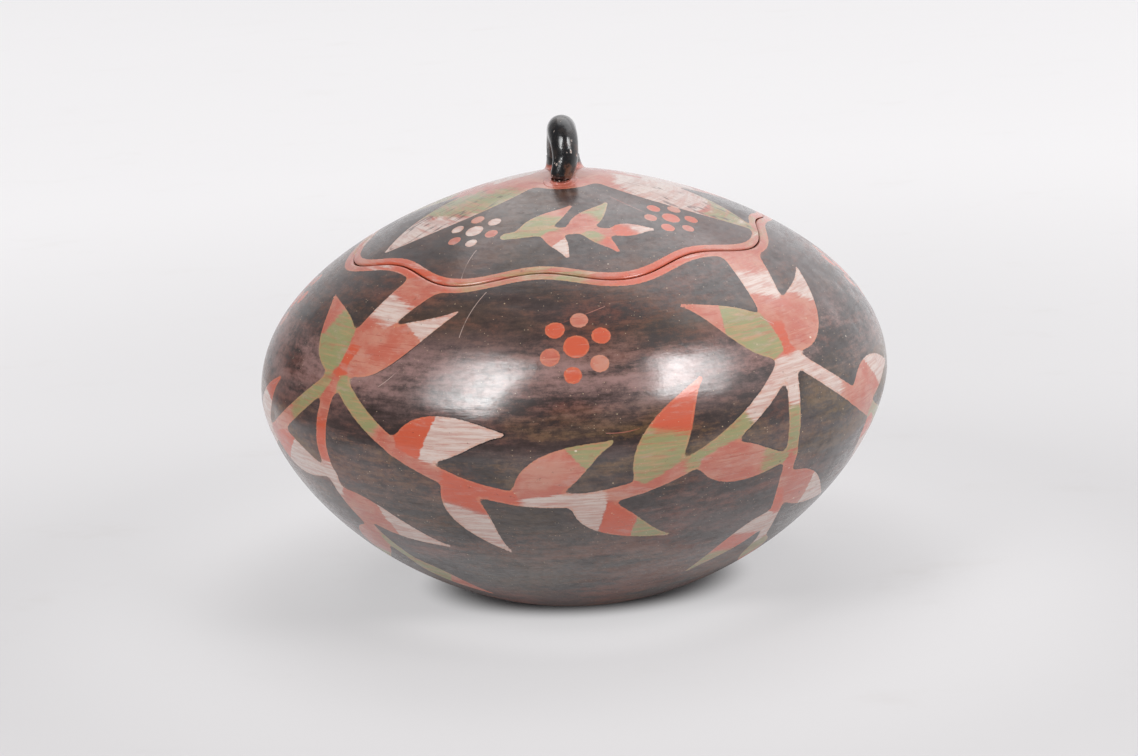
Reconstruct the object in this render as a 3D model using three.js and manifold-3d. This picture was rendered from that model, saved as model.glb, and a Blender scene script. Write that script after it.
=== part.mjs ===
// A hand-built, burnished pottery jar: a wide lens-shaped body, a lid cut from its crown along a wavy
// line, and a coil handle luted to the lid. Millimetres, +Z up, front towards -Y, and the origin is the
// centre of the flat base.
import * as THREE from "three";
import { mergeVertices } from "three/addons/utils/BufferGeometryUtils.js";
import Module from "manifold-3d";

const wasm = await Module();
wasm.setup();

// The outside of the closed jar
const WIDEST_RADIUS = 100;
const BELLY_DEPTH = 68.6; // from the floor up to the widest ring
const CROWN_HEIGHT = 66.5; // from the widest ring up to the lid's top
const BASE_RADIUS = 30;
const BASE_EDGE = 1.6; // soft edge of the flat base

// How full the outline is: 2 and 2 would be an ellipse, more is fuller and less is leaner
const BELLY_RISE = 1.6;
const BELLY_SPREAD = 1.87;
const CROWN_RISE = 2.1;
const CROWN_SPREAD = 1.41;

// The clay
const WALL = 5.5;
const FLOOR_THICKNESS = 7;

// The wavy cut between body and lid, seen from above
const LOBES = 8;
const CUT_RADIUS = 64.5;
const CUT_WAVE = 2.5; // how far a lobe stands out from the middle line of the cut
const CUT_SHIFT_X = -1.6; // the hand-cut lid lies a little off the axis
const CUT_SHIFT_Y = -1.2;
const LOBE_TURN = THREE.MathUtils.degToRad(284.5); // direction of one lobe's tip
const CUT_LEAN = THREE.MathUtils.degToRad(50); // the knife leans in, so the lid can't drop through
const CUT_GAP = 0.3; // clearance between the two cut faces, square to them
const LIP_ROUNDING = 1.5;
const INNER_ROUNDING = 0.6;

// The coil handle, which stands in the plane of the view from the side. It is rolled thinner towards its
// front end.
const FRONT_FOOT = 12.1; // from the axis to the middle of each foot
const BACK_FOOT = 11.5;
const HANDLE_RISE = 17.5; // from the lid's top to the top of the loop
const TOE_RADIUS = 2.8;
const LOOP_RADIUS = 4.75;
const HEEL_RADIUS = 5.6;
const LOOP_SHARE = 0.49; // where along the coil the loop's top lies
const FOOT_DEPTH = 3; // how far the ends would run on below the crown

// The middle line of the coil from the front foot to the back foot: the share of the way between the
// feet, the share of the loop's height, and how far it is bowed sideways
const MIDDLE_LINE = [
  [0, 0, 0.9],
  [0.07, 0.44, -0.85],
  [0.16, 0.78, -0.9],
  [0.41, 1, -0.35],
  [0.73, 0.82, -0.2],
  [0.92, 0.4, -0.2],
  [1, 0, -0.5],
];

// The fillets of clay pressed round the feet
const FRONT_COLLAR_SHARE = 0.1; // how far along the coil each collar grips it
const BACK_COLLAR_SHARE = 0.95;
const FRONT_COLLAR_HEIGHT = 1.4;
const BACK_COLLAR_HEIGHT = 4.6;
const COLLAR_LIP = 0.7; // thickness of a collar at its top
const FRONT_COLLAR_RADIUS = 5.8;
const BACK_COLLAR_RADIUS = 7.6;
const SEAT_GAP = 0.3; // clearance between pieces that are luted together

// Mesh steps
const STEPS_PER_LOBE = 12;
const SEGMENTS = LOBES * STEPS_PER_LOBE;
const BELLY_STEPS = 9;
const CROWN_STEPS = 5;
const LID_STEPS = 7;
const LIP_STEPS = 4;
const COIL_STEPS = 32;
const COIL_SIDES = 20;
const COLLAR_SIDES = 28;
const COLLAR_STEPS = 5;
const HALVINGS = 40;

const CUT_DIRECTION = new THREE.Vector2(-Math.sin(CUT_LEAN), -Math.cos(CUT_LEAN));
const CUT_NORMAL = new THREE.Vector2(Math.cos(CUT_LEAN), -Math.sin(CUT_LEAN));
const TOP_HEIGHT = BELLY_DEPTH + CROWN_HEIGHT;

// Depth at which the belly would close to a point, had it no flat base
const BELLY_POLE = BELLY_DEPTH / (1 - (BASE_RADIUS / WIDEST_RADIUS) ** BELLY_SPREAD) ** (1 / BELLY_RISE);

// A wall face is named by its inset from the outside: 0 outside, WALL inside.
function bellyPoint(angle, inset) {
  const radius = (WIDEST_RADIUS - inset) * Math.cos(angle) ** (2 / BELLY_SPREAD);
  const depth = (BELLY_POLE - inset) * Math.sin(angle) ** (2 / BELLY_RISE);
  return new THREE.Vector2(radius, BELLY_DEPTH - depth);
}

function bellyAngleAtHeight(height, inset) {
  const share = (BELLY_DEPTH - height) / (BELLY_POLE - inset);
  return Math.asin(share ** (BELLY_RISE / 2));
}

function crownPoint(angle, inset) {
  const radius = (WIDEST_RADIUS - inset) * Math.cos(angle) ** (2 / CROWN_SPREAD);
  const rise = (CROWN_HEIGHT - inset) * Math.sin(angle) ** (2 / CROWN_RISE);
  return new THREE.Vector2(radius, BELLY_DEPTH + rise);
}

function crownAngleAtRadius(radius, inset) {
  const share = radius / (WIDEST_RADIUS - inset);
  return Math.acos(share ** (CROWN_SPREAD / 2));
}

function crownHeightAt(radius, inset) {
  return crownPoint(crownAngleAtRadius(Math.abs(radius), inset), inset).y;
}

// Radius of the cut's outer edge in one direction from the axis
function cutRadius(direction) {
  const wave = CUT_WAVE * Math.cos(LOBES * (direction - LOBE_TURN));
  const shift = CUT_SHIFT_X * Math.cos(direction) + CUT_SHIFT_Y * Math.sin(direction);
  return CUT_RADIUS + wave + shift;
}

// Where a line that runs down into the clay meets a wall face
function meetCrown(point, inset) {
  let outside = -WALL;
  let inside = 3 * WALL;
  for (let halving = 0; halving < HALVINGS; halving++) {
    const middle = (outside + inside) / 2;
    const trial = point.clone().addScaledVector(CUT_DIRECTION, middle);
    if (trial.y > crownHeightAt(trial.x, inset)) outside = middle;
    else inside = middle;
  }
  return point.clone().addScaledVector(CUT_DIRECTION, inside);
}

// The two corners of a cut face, outside and inside, on the body's side (+1) or the lid's side (-1)
function cutCorners(direction, side) {
  const radius = cutRadius(direction);
  const onSurface = new THREE.Vector2(radius, crownHeightAt(radius, 0));
  const shifted = onSurface.addScaledVector(CUT_NORMAL, (side * CUT_GAP) / 2);
  return { outer: meetCrown(shifted, 0), inner: meetCrown(shifted, WALL) };
}

function roundedCorner(before, corner, after) {
  return new THREE.QuadraticBezierCurve(before, corner, after).getPoints(LIP_STEPS);
}

// Points of the crown between two radii, both ends included
function crownRun(fromRadius, toRadius, inset, steps) {
  const from = crownAngleAtRadius(fromRadius, inset);
  const to = crownAngleAtRadius(toRadius, inset);
  const points = [];
  for (let step = 0; step <= steps; step++) {
    points.push(crownPoint(THREE.MathUtils.lerp(from, to, step / steps), inset));
  }
  return points;
}

function bellyRun(fromHeight, toHeight, inset, steps) {
  const from = bellyAngleAtHeight(fromHeight, inset);
  const to = bellyAngleAtHeight(toHeight, inset);
  const points = [];
  for (let step = 0; step <= steps; step++) {
    points.push(bellyPoint(THREE.MathUtils.lerp(from, to, step / steps), inset));
  }
  return points;
}

// The body's cross-section in one direction: base, outside, rounded lip, cut face, inside, floor
function bodySection(direction) {
  const { outer, inner } = cutCorners(direction, 1);
  const belowLip = crownPoint(crownAngleAtRadius(outer.x + LIP_ROUNDING, 0), 0);
  const onCut = outer.clone().addScaledVector(CUT_DIRECTION, LIP_ROUNDING);
  const aboveInner = inner.clone().addScaledVector(CUT_DIRECTION, -INNER_ROUNDING);
  const belowInner = crownPoint(crownAngleAtRadius(inner.x + INNER_ROUNDING, WALL), WALL);
  const floorEdge = bellyPoint(bellyAngleAtHeight(FLOOR_THICKNESS + WALL / 2, WALL), WALL);
  return [
    new THREE.Vector2(0, 0),
    new THREE.Vector2(BASE_RADIUS - BASE_EDGE, 0),
    ...bellyRun(BASE_EDGE, BELLY_DEPTH, 0, BELLY_STEPS),
    ...crownRun(WIDEST_RADIUS, belowLip.x, 0, CROWN_STEPS).slice(1, -1),
    ...roundedCorner(belowLip, outer, onCut),
    aboveInner,
    ...crownRun(belowInner.x, WIDEST_RADIUS - WALL, WALL, CROWN_STEPS),
    ...bellyRun(BELLY_DEPTH, floorEdge.y, WALL, BELLY_STEPS).slice(1),
    new THREE.Vector2(floorEdge.x - WALL, FLOOR_THICKNESS),
    new THREE.Vector2(0, FLOOR_THICKNESS),
  ];
}

// The lid's cross-section in one direction: underside, cut face, rounded lip, top
function lidSection(direction) {
  const { outer, inner } = cutCorners(direction, -1);
  const beforeInner = crownPoint(crownAngleAtRadius(inner.x - INNER_ROUNDING, WALL), WALL);
  const aboveInner = inner.clone().addScaledVector(CUT_DIRECTION, -INNER_ROUNDING);
  const onCut = outer.clone().addScaledVector(CUT_DIRECTION, LIP_ROUNDING);
  const aboveLip = crownPoint(crownAngleAtRadius(outer.x - LIP_ROUNDING, 0), 0);
  return [
    ...crownRun(0, beforeInner.x, WALL, LID_STEPS),
    aboveInner,
    ...roundedCorner(onCut, outer, aboveLip),
    ...crownRun(aboveLip.x, 0, 0, LID_STEPS).slice(1),
  ];
}

// A lathe whose cross-section changes with the direction from the axis
function wavyLathe(sectionAt) {
  const geometry = new THREE.LatheGeometry(sectionAt(LOBE_TURN), SEGMENTS);
  const position = geometry.getAttribute("position");
  let vertex = 0;
  for (let segment = 0; segment <= SEGMENTS; segment++) {
    const direction = LOBE_TURN + ((segment % SEGMENTS) / SEGMENTS) * 2 * Math.PI;
    for (const point of sectionAt(direction)) {
      const x = point.x * Math.cos(direction);
      const y = point.x * Math.sin(direction);
      position.setXYZ(vertex, x, y, point.y);
      vertex += 1;
    }
  }
  return geometry;
}

// A closed geometry as a solid that can be cut
function solidOf(geometry) {
  const bare = geometry.clone().deleteAttribute("normal").deleteAttribute("uv");
  const merged = mergeVertices(bare, 1e-4);
  const vertProperties = new Float32Array(merged.getAttribute("position").array);
  const triVerts = new Uint32Array(merged.index.array);
  return new wasm.Manifold(new wasm.Mesh({ numProp: 3, vertProperties, triVerts }));
}

function geometryOf(solid) {
  const mesh = solid.getMesh();
  const geometry = new THREE.BufferGeometry();
  geometry.setAttribute("position", new THREE.BufferAttribute(mesh.vertProperties, 3));
  geometry.setIndex(new THREE.BufferAttribute(mesh.triVerts, 1));
  geometry.computeVertexNormals();
  return geometry;
}

// A lathe about the Z axis
function turned(profile, sides) {
  return new THREE.LatheGeometry(profile, sides).rotateX(Math.PI / 2);
}

// The middle of the crown raised by the seat gap, to cut the feet and the collars to its curve
function crownCutter() {
  const reach = Math.max(FRONT_FOOT, BACK_FOOT) + 2 * BACK_COLLAR_RADIUS;
  const surface = crownRun(reach, 0, 0, 2 * LID_STEPS);
  const raised = surface.map((point) => new THREE.Vector2(point.x, point.y + SEAT_GAP));
  const below = raised[0].y - FOOT_DEPTH - HEEL_RADIUS;
  const profile = [new THREE.Vector2(0, below), new THREE.Vector2(reach, below), ...raised];
  return solidOf(turned(profile, SEGMENTS));
}

// A point of the coil's middle line from its two shares and its sideways bow
function middlePoint([along, up, bow]) {
  const y = THREE.MathUtils.lerp(-FRONT_FOOT, BACK_FOOT, along);
  const foot = THREE.MathUtils.lerp(crownHeightAt(FRONT_FOOT, 0), crownHeightAt(BACK_FOOT, 0), along);
  const loopTop = TOP_HEIGHT + HANDLE_RISE - LOOP_RADIUS;
  return new THREE.Vector3(-bow, y, THREE.MathUtils.lerp(foot, loopTop, up));
}

const LINE_POINTS = MIDDLE_LINE.map(middlePoint);
const FEET = { front: LINE_POINTS[0], back: LINE_POINTS[LINE_POINTS.length - 1] };

function middleLine() {
  const down = new THREE.Vector3(0, 0, -FOOT_DEPTH);
  const toe = FEET.front.clone().add(down);
  const heel = FEET.back.clone().add(down);
  return new THREE.CatmullRomCurve3([toe, ...LINE_POINTS, heel]);
}

function coilRadius(share) {
  if (share < LOOP_SHARE) {
    const swell = Math.sin((Math.PI / 2) * (share / LOOP_SHARE));
    return THREE.MathUtils.lerp(TOE_RADIUS, LOOP_RADIUS, swell);
  }
  const past = (share - LOOP_SHARE) / (1 - LOOP_SHARE);
  return THREE.MathUtils.lerp(LOOP_RADIUS, HEEL_RADIUS, past ** 1.5);
}

// The coil as a solid, made thicker all round by a margin. Its two end rings close to points.
function coilSolid(margin) {
  const line = middleLine();
  const tube = new THREE.TubeGeometry(line, COIL_STEPS, 1, COIL_SIDES);
  const position = tube.getAttribute("position");
  const vertex = new THREE.Vector3();
  for (let number = 0; number < position.count; number++) {
    const step = Math.floor(number / (COIL_SIDES + 1));
    const share = step / COIL_STEPS;
    const isEnd = step === 0 || step === COIL_STEPS;
    const centre = line.getPointAt(share);
    const radius = isEnd ? 0 : coilRadius(share) + margin;
    vertex.fromBufferAttribute(position, number).sub(centre).multiplyScalar(radius).add(centre);
    position.setXYZ(number, vertex.x, vertex.y, vertex.z);
  }
  return solidOf(tube);
}

// A ring round one foot, thin at its top and flaring to its radius on the crown
function collarGeometry(foot, height, collarRadius, cutter) {
  const { x, y, z } = foot.place;
  const topRadius = foot.radius + SEAT_GAP + COLLAR_LIP;
  const top = new THREE.Vector2(topRadius, z + height);
  const waist = new THREE.Vector2(topRadius, z);
  const skirt = new THREE.Vector2(collarRadius, z);
  const flare = new THREE.QuadraticBezierCurve(top, waist, skirt).getPoints(COLLAR_STEPS).reverse();
  const root = z - FOOT_DEPTH;
  const profile = [
    new THREE.Vector2(0, root),
    new THREE.Vector2(collarRadius, root),
    ...flare,
    new THREE.Vector2(0, z + height),
  ];
  const mound = solidOf(turned(profile, COLLAR_SIDES).translate(x, y, 0));
  return geometryOf(mound.subtract(cutter).subtract(coilSolid(SEAT_GAP)));
}

function clay(color, roughness) {
  return new THREE.MeshStandardMaterial({ color, roughness, metalness: 0 });
}

function piece(name, geometry, material) {
  const mesh = new THREE.Mesh(geometry, material);
  mesh.name = name;
  return mesh;
}

function jar() {
  const cutter = crownCutter();
  const burnished = clay(0x2b1b17, 0.32);
  const body = piece("jar_body", wavyLathe(bodySection), burnished);

  const lid = new THREE.Group();
  lid.add(piece("lid_shell", wavyLathe(lidSection), burnished.clone()));
  const coil = geometryOf(coilSolid(0).subtract(cutter));
  lid.add(piece("lid_handle", coil, clay(0x111011, 0.18)));
  const frontFoot = { place: FEET.front, radius: coilRadius(FRONT_COLLAR_SHARE) };
  const backFoot = { place: FEET.back, radius: coilRadius(BACK_COLLAR_SHARE) };
  const frontCollar = collarGeometry(frontFoot, FRONT_COLLAR_HEIGHT, FRONT_COLLAR_RADIUS, cutter);
  const backCollar = collarGeometry(backFoot, BACK_COLLAR_HEIGHT, BACK_COLLAR_RADIUS, cutter);
  const salmon = clay(0xc06a5a, 0.45);
  lid.add(piece("front_handle_collar", frontCollar, salmon));
  lid.add(piece("back_handle_collar", backCollar, salmon.clone()));

  const whole = new THREE.Group();
  whole.add(body, lid);
  return whole;
}

export default jar();
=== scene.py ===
"""A burnished, slip-painted pottery jar: its fine surfaces, painted ornament, camera and studio light."""
import math

import bpy
import numpy as np
from mathutils import Matrix, Vector


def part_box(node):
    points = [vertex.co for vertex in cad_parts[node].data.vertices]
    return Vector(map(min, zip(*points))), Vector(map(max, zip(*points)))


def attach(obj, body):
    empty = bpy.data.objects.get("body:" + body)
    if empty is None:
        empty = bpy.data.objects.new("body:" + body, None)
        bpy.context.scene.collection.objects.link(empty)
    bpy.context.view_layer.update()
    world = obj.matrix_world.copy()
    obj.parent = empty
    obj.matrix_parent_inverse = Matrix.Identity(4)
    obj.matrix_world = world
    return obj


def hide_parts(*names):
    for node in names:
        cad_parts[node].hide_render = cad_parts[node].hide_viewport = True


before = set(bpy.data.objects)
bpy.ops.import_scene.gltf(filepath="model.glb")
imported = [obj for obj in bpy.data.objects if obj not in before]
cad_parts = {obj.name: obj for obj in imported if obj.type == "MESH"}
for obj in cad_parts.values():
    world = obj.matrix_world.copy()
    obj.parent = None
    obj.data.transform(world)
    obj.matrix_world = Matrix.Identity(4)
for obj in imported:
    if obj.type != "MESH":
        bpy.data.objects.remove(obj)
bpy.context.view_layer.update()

random = np.random.default_rng(11)

MM = 0.001

# The jar's form, in millimetres: read from the frame where the frame holds it
BODY_HIGH = np.array(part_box("jar_body")[1]) / MM
LID_HIGH = np.array(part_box("lid_shell")[1]) / MM
HANDLE_HIGH = np.array(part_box("lid_handle")[1]) / MM
WIDEST_RADIUS = min(BODY_HIGH[0], BODY_HIGH[1])
LID_TOP = LID_HIGH[2]
BELLY_DEPTH = 68.6
CROWN_HEIGHT = LID_TOP - BELLY_DEPTH
BASE_RADIUS = 30.0
BASE_EDGE = 1.6
BELLY_RISE = 1.6
BELLY_SPREAD = 1.87
CROWN_RISE = 2.1
CROWN_SPREAD = 1.41
WALL = 5.5
FLOOR_THICKNESS = 7.0

# The wavy cut between body and lid
LOBES = 8
CUT_RADIUS = 64.5
CUT_WAVE = 2.5
CUT_SHIFT = (-1.6, -1.2)
LOBE_TURN = math.radians(284.5)
CUT_LEAN = math.radians(50)
CUT_GAP = 0.3
LIP_ROUNDING = 0.85
INNER_ROUNDING = 0.6

# The coil handle: its middle line from foot to foot as shares of the way and of the loop's height, and
# how far it is bowed sideways
FRONT_FOOT = 12.1
BACK_FOOT = 11.5
TOE_RADIUS = 3.1
TOE_ROUNDING = 1.9  # height over which the front end is rounded off
TOE_LOSS = 0.6  # share of its section that the rounding takes there
LOOP_RADIUS = 4.75
HEEL_RADIUS = 5.6
LOOP_SHARE = 0.49  # how far along the coil it has its loop radius
FOOT_DEPTH = 3.0
MIDDLE_LINE = ((0, 0, 0.9), (0.07, 0.44, -0.85), (0.16, 0.78, -0.9), (0.41, 1, -0.35),
               (0.73, 0.82, -0.2), (0.92, 0.4, -0.2), (1, 0, -0.5))
COIL_SHRINK = 0.04  # how far the coil's skin stays inside its smooth form
COIL_HOLLOW = 0.28  # how much deeper its hollows go
COIL_WAVES = 7  # crossing waves that make them

# The fillets of clay round the handle's feet
FRONT_COLLAR_HEIGHT = 0.7
FRONT_COLLAR_RADIUS = 5.6
BACK_COLLAR_HEIGHT = 4.4
BACK_COLLAR_RADIUS = 7.5
COLLAR_FALL = 2.1  # powers that bend a fillet's fall and its spread from the coil to its edge
COLLAR_SPREAD = 1.7
COLLAR_REACH = 0.96  # share of its radius at which the edge lies on average
COLLAR_OVERLAP = 0.02  # how far its top lies inside the coil's smooth form
COLLAR_LIFT = 0.04  # how high its edge lies over the lid
SKIRT_DEPTH = 0.4  # how far its hidden skirt hangs below that

# Mesh steps
SEGMENTS = 512
BELLY_ROWS = 88
CROWN_ROWS = 58
LIP_ROWS = 9
CUT_ROWS = 4
INNER_ROWS = 14
LID_ROWS = 84
COIL_RINGS = 200
COIL_SIDES = 64
COLLAR_RINGS = 18
COLLAR_SIDES = 96
DISC_SIDES = 96
PROFILE_STEPS = 400
CURVE_STEPS = 40
HALVINGS = 40

CUT_DIRECTION = np.array([-math.sin(CUT_LEAN), -math.cos(CUT_LEAN)])
CUT_NORMAL = np.array([math.cos(CUT_LEAN), -math.sin(CUT_LEAN)])
BELLY_POLE = BELLY_DEPTH / (1 - (BASE_RADIUS / WIDEST_RADIUS) ** BELLY_SPREAD) ** (1 / BELLY_RISE)


# Camera

PHOTO_WIDTH = 1138
PHOTO_FOCAL = 2801.8  # focal length in pixels of the photograph
SENSOR = 36.0
CAMERA_DISTANCE = 0.900
CAMERA_ELEVATION = math.radians(14)
CAMERA_ROLL = math.radians(-3.16)
AIM_RIGHT = -0.00159  # the camera aims a little left of and below the middle of the widest ring
AIM_UP = -0.00158


def add_object(name, data):
    made = bpy.data.objects.new(name, data)
    bpy.context.scene.collection.objects.link(made)
    return made


def make_camera():
    data = bpy.data.cameras.new("camera")
    data.sensor_width = SENSOR
    data.lens = PHOTO_FOCAL / PHOTO_WIDTH * SENSOR
    data.clip_start = 0.01
    data.clip_end = 50
    camera = add_object("camera", data)
    middle = Vector((0, 0, BELLY_DEPTH * MM))
    back = Vector((0, -math.cos(CAMERA_ELEVATION), math.sin(CAMERA_ELEVATION)))
    turn = back.to_track_quat("Z", "Y").to_matrix().to_4x4() @ Matrix.Rotation(CAMERA_ROLL, 4, "Z")
    offset = turn.to_3x3() @ Vector((AIM_RIGHT, AIM_UP, 0))
    camera.matrix_world = Matrix.Translation(middle + back * CAMERA_DISTANCE + offset) @ turn
    bpy.context.scene.camera = camera


make_camera()


def lengths_along(points):
    """How far along a line each of its points is."""
    return np.concatenate([[0], np.cumsum(np.linalg.norm(np.diff(points, axis=0), axis=1))])


def unit(vectors):
    return vectors / np.linalg.norm(vectors, axis=-1, keepdims=True)


# Outline of the jar: a wall face is named by its inset, 0 outside and WALL inside

def belly_point(angle, inset):
    radius = (WIDEST_RADIUS - inset) * np.maximum(np.cos(angle), 0) ** (2 / BELLY_SPREAD)
    depth = (BELLY_POLE - inset) * np.maximum(np.sin(angle), 0) ** (2 / BELLY_RISE)
    return np.stack([radius, BELLY_DEPTH - depth], -1)


def belly_angle(height, inset):
    share = (BELLY_DEPTH - height) / (BELLY_POLE - inset)
    return np.arcsin(share ** (BELLY_RISE / 2))


def crown_point(angle, inset):
    radius = (WIDEST_RADIUS - inset) * np.maximum(np.cos(angle), 0) ** (2 / CROWN_SPREAD)
    rise = (CROWN_HEIGHT - inset) * np.maximum(np.sin(angle), 0) ** (2 / CROWN_RISE)
    return np.stack([radius, BELLY_DEPTH + rise], -1)


def crown_angle(radius, inset):
    share = np.clip(radius / (WIDEST_RADIUS - inset), 0, 1)
    return np.arccos(share ** (CROWN_SPREAD / 2))


def crown_at(radius, inset):
    return crown_point(crown_angle(radius, inset), inset)


def crown_height(radius, inset):
    return crown_at(radius, inset)[..., 1]


def cut_radius(direction):
    wave = CUT_WAVE * np.cos(LOBES * (direction - LOBE_TURN))
    return CUT_RADIUS + wave + CUT_SHIFT[0] * np.cos(direction) + CUT_SHIFT[1] * np.sin(direction)


def meet_crown(points, inset):
    """Where lines that run down into the clay along the cut meet a wall face, found by halving."""
    outside = np.full(len(points), -WALL)
    inside = np.full(len(points), 3 * WALL)
    for _ in range(HALVINGS):
        middle = (outside + inside) / 2
        trial = points + CUT_DIRECTION * middle[:, None]
        above = trial[:, 1] > crown_height(trial[:, 0], inset)
        outside = np.where(above, middle, outside)
        inside = np.where(above, inside, middle)
    return points + CUT_DIRECTION * inside[:, None]


def cut_section(side):
    """The cut's outer and inner corner with the ends of their rounding, from the outer wall face to the
    inner one. side is 1 on the body and -1 on the lid."""
    shifted = crown_at(cut_radius(DIRECTIONS), 0) + CUT_NORMAL * side * CUT_GAP / 2
    outer, inner = meet_crown(shifted, 0), meet_crown(shifted, WALL)
    beside_outer = crown_at(outer[:, 0] + side * LIP_ROUNDING, 0)
    beside_inner = crown_at(inner[:, 0] + side * INNER_ROUNDING, WALL)
    on_cut = outer + CUT_DIRECTION * LIP_ROUNDING
    above_inner = inner - CUT_DIRECTION * INNER_ROUNDING
    return beside_outer, outer, on_cut, above_inner, inner, beside_inner


def bezier(before, corner, after, rows):
    """Rows of a rounded corner or a bow, both ends included."""
    found = []
    for share in np.linspace(0, 1, rows):
        point = (1 - share) ** 2 * before + 2 * share * (1 - share) * corner + share**2 * after
        found.append(point)
    return found


def line(before, after, rows):
    """Rows between two others, both left out."""
    return [before + (after - before) * step / (rows + 1) for step in range(1, rows + 1)]


def crown_run(from_radius, to_radius, inset, rows):
    start, end = crown_angle(from_radius, inset), crown_angle(to_radius, inset)
    return [crown_point(start + (end - start) * share, inset) for share in np.linspace(0, 1, rows)]


def belly_run(from_height, to_height, inset, rows):
    start, end = belly_angle(from_height, inset), belly_angle(to_height, inset)
    return [belly_point(start + (end - start) * share, inset) for share in np.linspace(0, 1, rows)]


DIRECTIONS = LOBE_TURN + np.arange(SEGMENTS) / SEGMENTS * 2 * np.pi


def ring(radius, height):
    return np.stack([np.full(SEGMENTS, radius), np.full(SEGMENTS, height)], -1)


def spread(points):
    """Section points that are the same in all directions, as rings."""
    return [ring(*point) for point in points]


def body_rows():
    """Rings of the body from the base's rim to the inside floor, and how many of them are outside."""
    below_lip, outer, on_cut, above_inner, inner, below_inner = cut_section(1)
    start = belly_run(BASE_EDGE, BELLY_DEPTH, 0, BELLY_ROWS)
    foot = bezier(np.array([BASE_RADIUS - BASE_EDGE, 0]), np.array([BASE_RADIUS, 0]), start[0], 5)
    outside = spread(foot[:-1]) + spread(start)
    outside += crown_run(np.full(SEGMENTS, WIDEST_RADIUS), below_lip[:, 0], 0, CROWN_ROWS)[1:-1]
    outside += bezier(below_lip, outer, on_cut, LIP_ROWS)
    floor_edge = belly_point(belly_angle(FLOOR_THICKNESS + WALL / 2, WALL), WALL)
    inside = line(on_cut, above_inner, CUT_ROWS)
    inside += bezier(above_inner, inner, below_inner, 4)
    inside += crown_run(below_inner[:, 0], np.full(SEGMENTS, WIDEST_RADIUS - WALL), WALL, INNER_ROWS)[1:]
    inside += spread(belly_run(BELLY_DEPTH, floor_edge[1], WALL, INNER_ROWS)[1:])
    corner = np.array([floor_edge[0] - WALL / 2, FLOOR_THICKNESS])
    flat = np.array([floor_edge[0] - 2 * WALL, FLOOR_THICKNESS])
    inside += spread(bezier(floor_edge, corner, flat, 4)[1:])
    return outside + inside, len(outside)


def lid_rows():
    """Rings of the lid from the middle of its underside to its top, and how many are not outside."""
    above_lip, outer, on_cut, above_inner, inner, before_inner = cut_section(-1)
    near_axis = np.full(SEGMENTS, 1.0)
    inside = crown_run(near_axis, before_inner[:, 0], WALL, INNER_ROWS)
    inside += bezier(before_inner, inner, above_inner, 4)[1:]
    inside += line(above_inner, on_cut, CUT_ROWS)
    outside = bezier(on_cut, outer, above_lip, LIP_ROWS)
    outside += crown_run(above_lip[:, 0], near_axis, 0, LID_ROWS)[1:]
    return inside + outside, len(inside)


def ring_faces(lower, upper, sides):
    """Faces between two rings of points, each given by its number."""
    faces = []
    for side in range(sides):
        a, b = side, (side + 1) % sides
        faces.append((lower * sides + a, lower * sides + b, upper * sides + b, upper * sides + a))
    return faces


def tube_faces(count, sides):
    return [face for number in range(count - 1) for face in ring_faces(number, number + 1, sides)]


def lathe_mesh(name, rows, low_pole, high_pole):
    """A closed mesh of rings and two poles; the last two points are the poles."""
    rings = np.array(rows)
    count = len(rings)
    radius, height = rings[..., 0], rings[..., 1]
    points = np.stack([radius * np.cos(DIRECTIONS), radius * np.sin(DIRECTIONS), height], -1)
    points = np.concatenate([points.reshape(-1, 3), [[0, 0, low_pole], [0, 0, high_pole]]])
    low, high = count * SEGMENTS, count * SEGMENTS + 1
    faces = tube_faces(count, SEGMENTS)
    faces += [(low, b, a) for a, b, _, _ in faces[:SEGMENTS]]
    faces += [(high, a, b) for _, _, b, a in faces[(count - 2) * SEGMENTS:(count - 1) * SEGMENTS]]
    return smooth_mesh(name, points * MM, faces), points


def smooth_mesh(name, points, faces):
    mesh = bpy.data.meshes.new(name)
    mesh.from_pydata(np.asarray(points).tolist(), [], faces)
    mesh.shade_smooth()
    return mesh


def new_piece(mesh, body, node, slot, *materials):
    piece = add_object(mesh.name, mesh)
    for material in materials:
        mesh.materials.append(material)
    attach(piece, body)
    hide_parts(node)


def set_values(mesh, name, values):
    attribute = mesh.attributes.new(name, "FLOAT", "POINT")
    attribute.data.foreach_set("value", np.asarray(values, np.float32))


# Painted ornament. Every point of a surface holds its distance to the nearest painted edge, less than
# zero inside, the shares of three slips over the salmon one, and marks: where scratches and veins run.

TONES = {"salmon": (0, 0, 0), "olive": (1, 0, 0), "white": (0, 1, 0), "red": (0, 0, 1)}
FAR = 50.0
CRISP = 0.9  # millimetres over which one slip gives way to the next
SOFT = 7.0
OVERLAP = 1.8  # how far two painted shapes run into one another where they meet
WEB = 3.0  # how far a crotch between two painted shapes is filled
LEAF_BASE = 0.75  # how blunt a leaf's base is; its tip is more drawn out
NIB = 0.75  # half width of a leaf's rounded tip
VEIN_MARGIN = 1.2  # how far inside a petal's edge its veins reach their full strength
VEIN_FAN = 20  # distance from a petal's base at which its veins are twice as far apart as there
ROSETTE_DOTS = 6
SCRATCH_REACH = 2.5  # how far to each side of a scratch its points are marked
MARKS = ("off_scratch", "near_scratch", "veined", "vein_along", "vein_across")


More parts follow.
